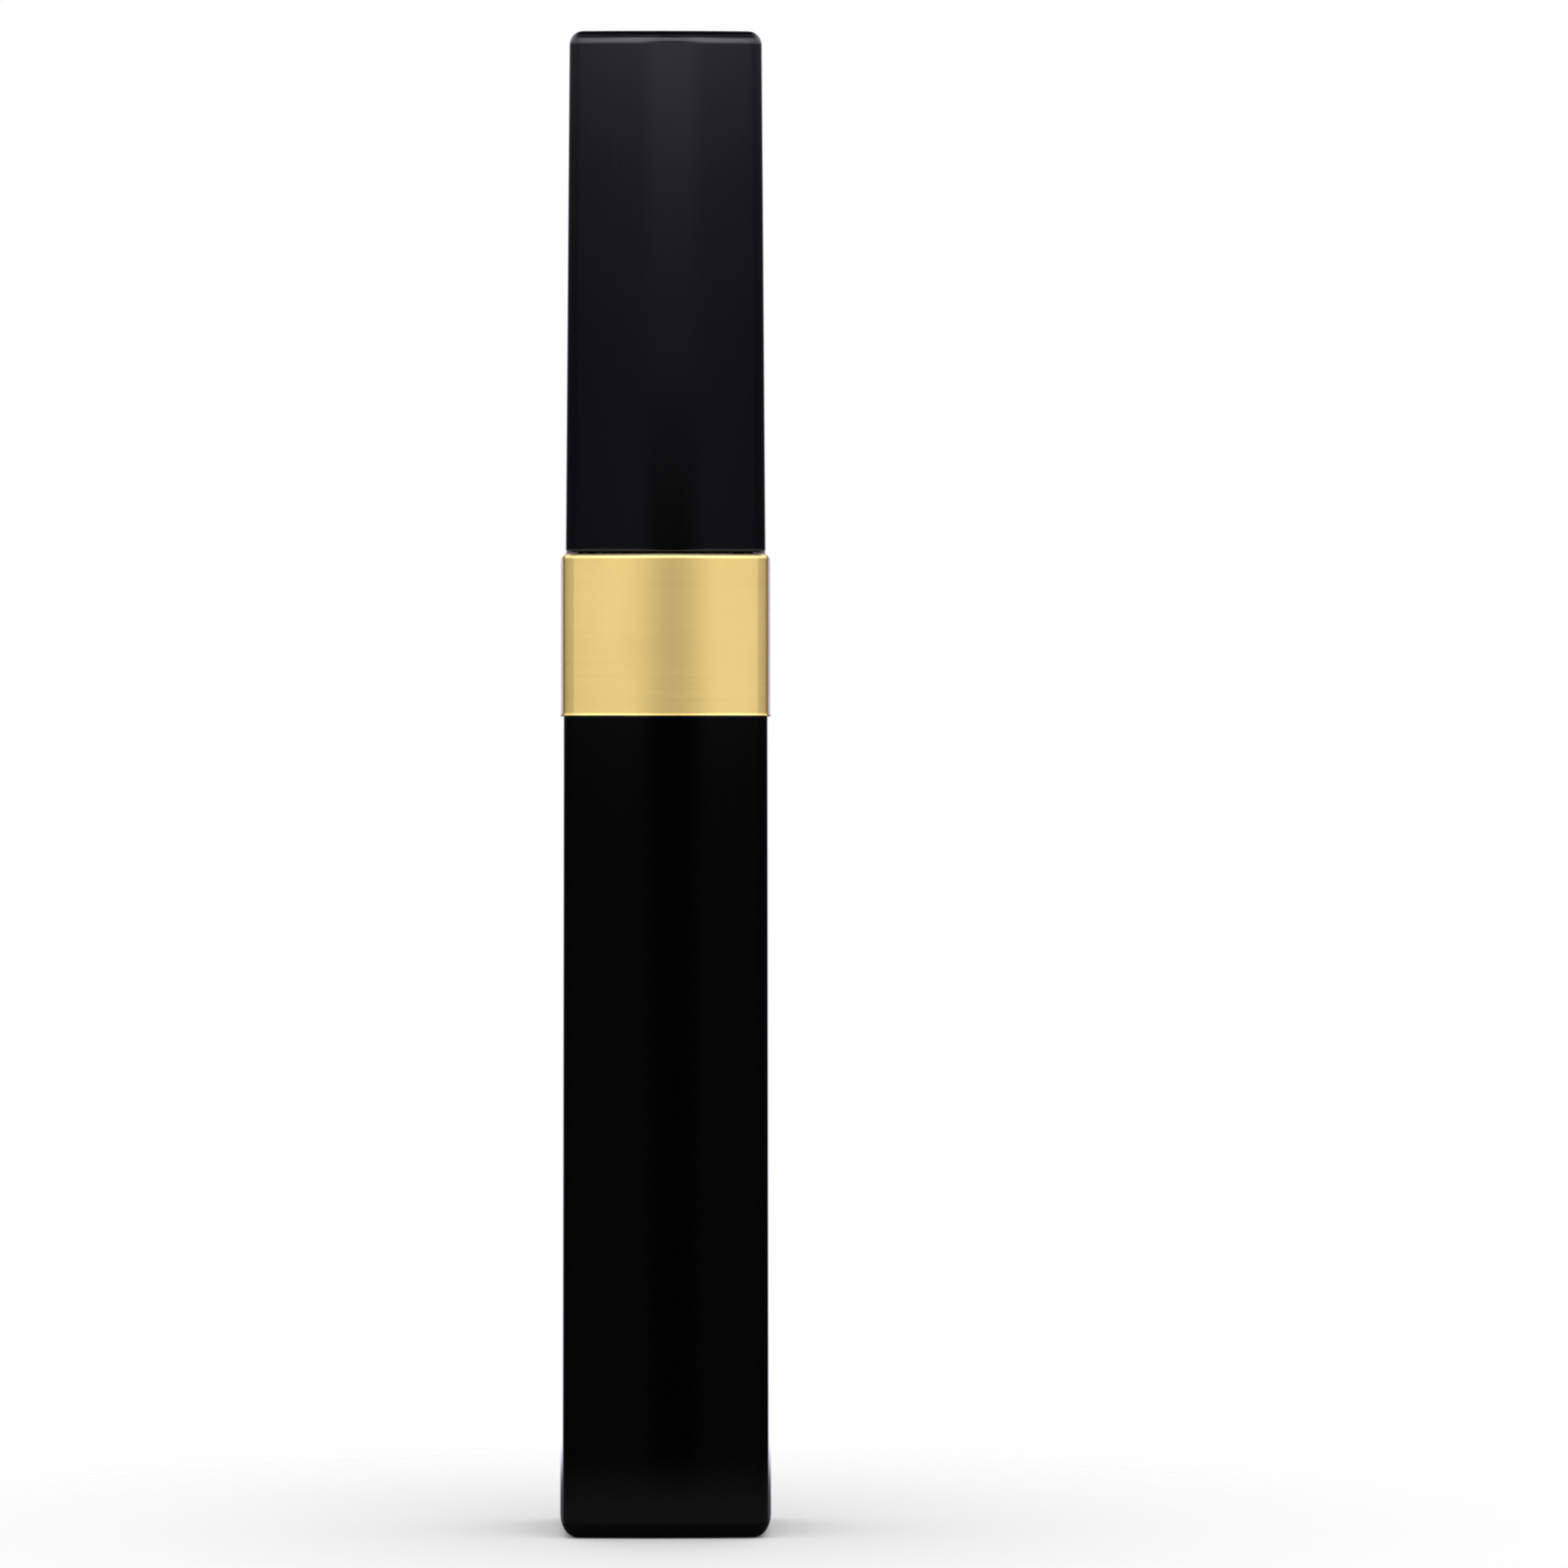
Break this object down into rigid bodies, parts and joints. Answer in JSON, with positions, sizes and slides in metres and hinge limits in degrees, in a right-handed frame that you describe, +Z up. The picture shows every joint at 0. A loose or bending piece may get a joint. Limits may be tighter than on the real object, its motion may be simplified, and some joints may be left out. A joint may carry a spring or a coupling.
{
  "type": "mascara tube",
  "caption": "Tall square cosmetic tube: a gloss case with a metal band, an inner vial with a wiper, and a turn-off cap that carries a wand with a spiky moulded brush.",
  "frame": {"origin": "centre of the foot of the closed tube, on the surface that it stands on", "axes": "+Z up the tube's axis towards the cap's top; X and Y square to the flat sides, and the front is at -Y"},
  "size_m": [0.018, 0.018, 0.1275],
  "materials": {
    "case_plastic": "injection-moulded gloss black",
    "cap_plastic": "injection-moulded gloss black",
    "gold_anodised": "satin gold anodising",
    "vial_plastic": "blow-moulded, as it leaves the mould",
    "insert_plastic": "injection-moulded, fine satin",
    "wiper_elastomer": "natural soft polyethylene",
    "washer_foam": "closed-cell foam sheet",
    "wand_plastic": "injection-moulded satin black",
    "brush_elastomer": "moulded elastomer with a film of mascara",
    "label_film": "blank film label"
  },
  "bodies": {
    "container": {"outer_case": "case_plastic", "base_label": "label_film", "gold_band": "gold_anodised", "vial": "vial_plastic", "vial_retainer": "insert_plastic", "wiper": "wiper_elastomer"},
    "seal": {"seal_washer": "washer_foam"},
    "applicator": {"outer_cap": "cap_plastic", "inner_cap": "insert_plastic", "wand_stem": "wand_plastic", "brush": "brush_elastomer"}
  },
  "joints": [
    {"name": "pull_out", "type": "slide", "parent": "container", "child": "seal", "axis": [0, 0, 1], "range_m": [0, 0.09], "deforming": ["wiper"]},
    {"name": "cap_twist", "type": "hinge", "parent": "seal", "child": "applicator", "pos_m": [0, 0, 0], "axis": [0, 0, 1], "range_deg": [0, 120]}
  ]
}
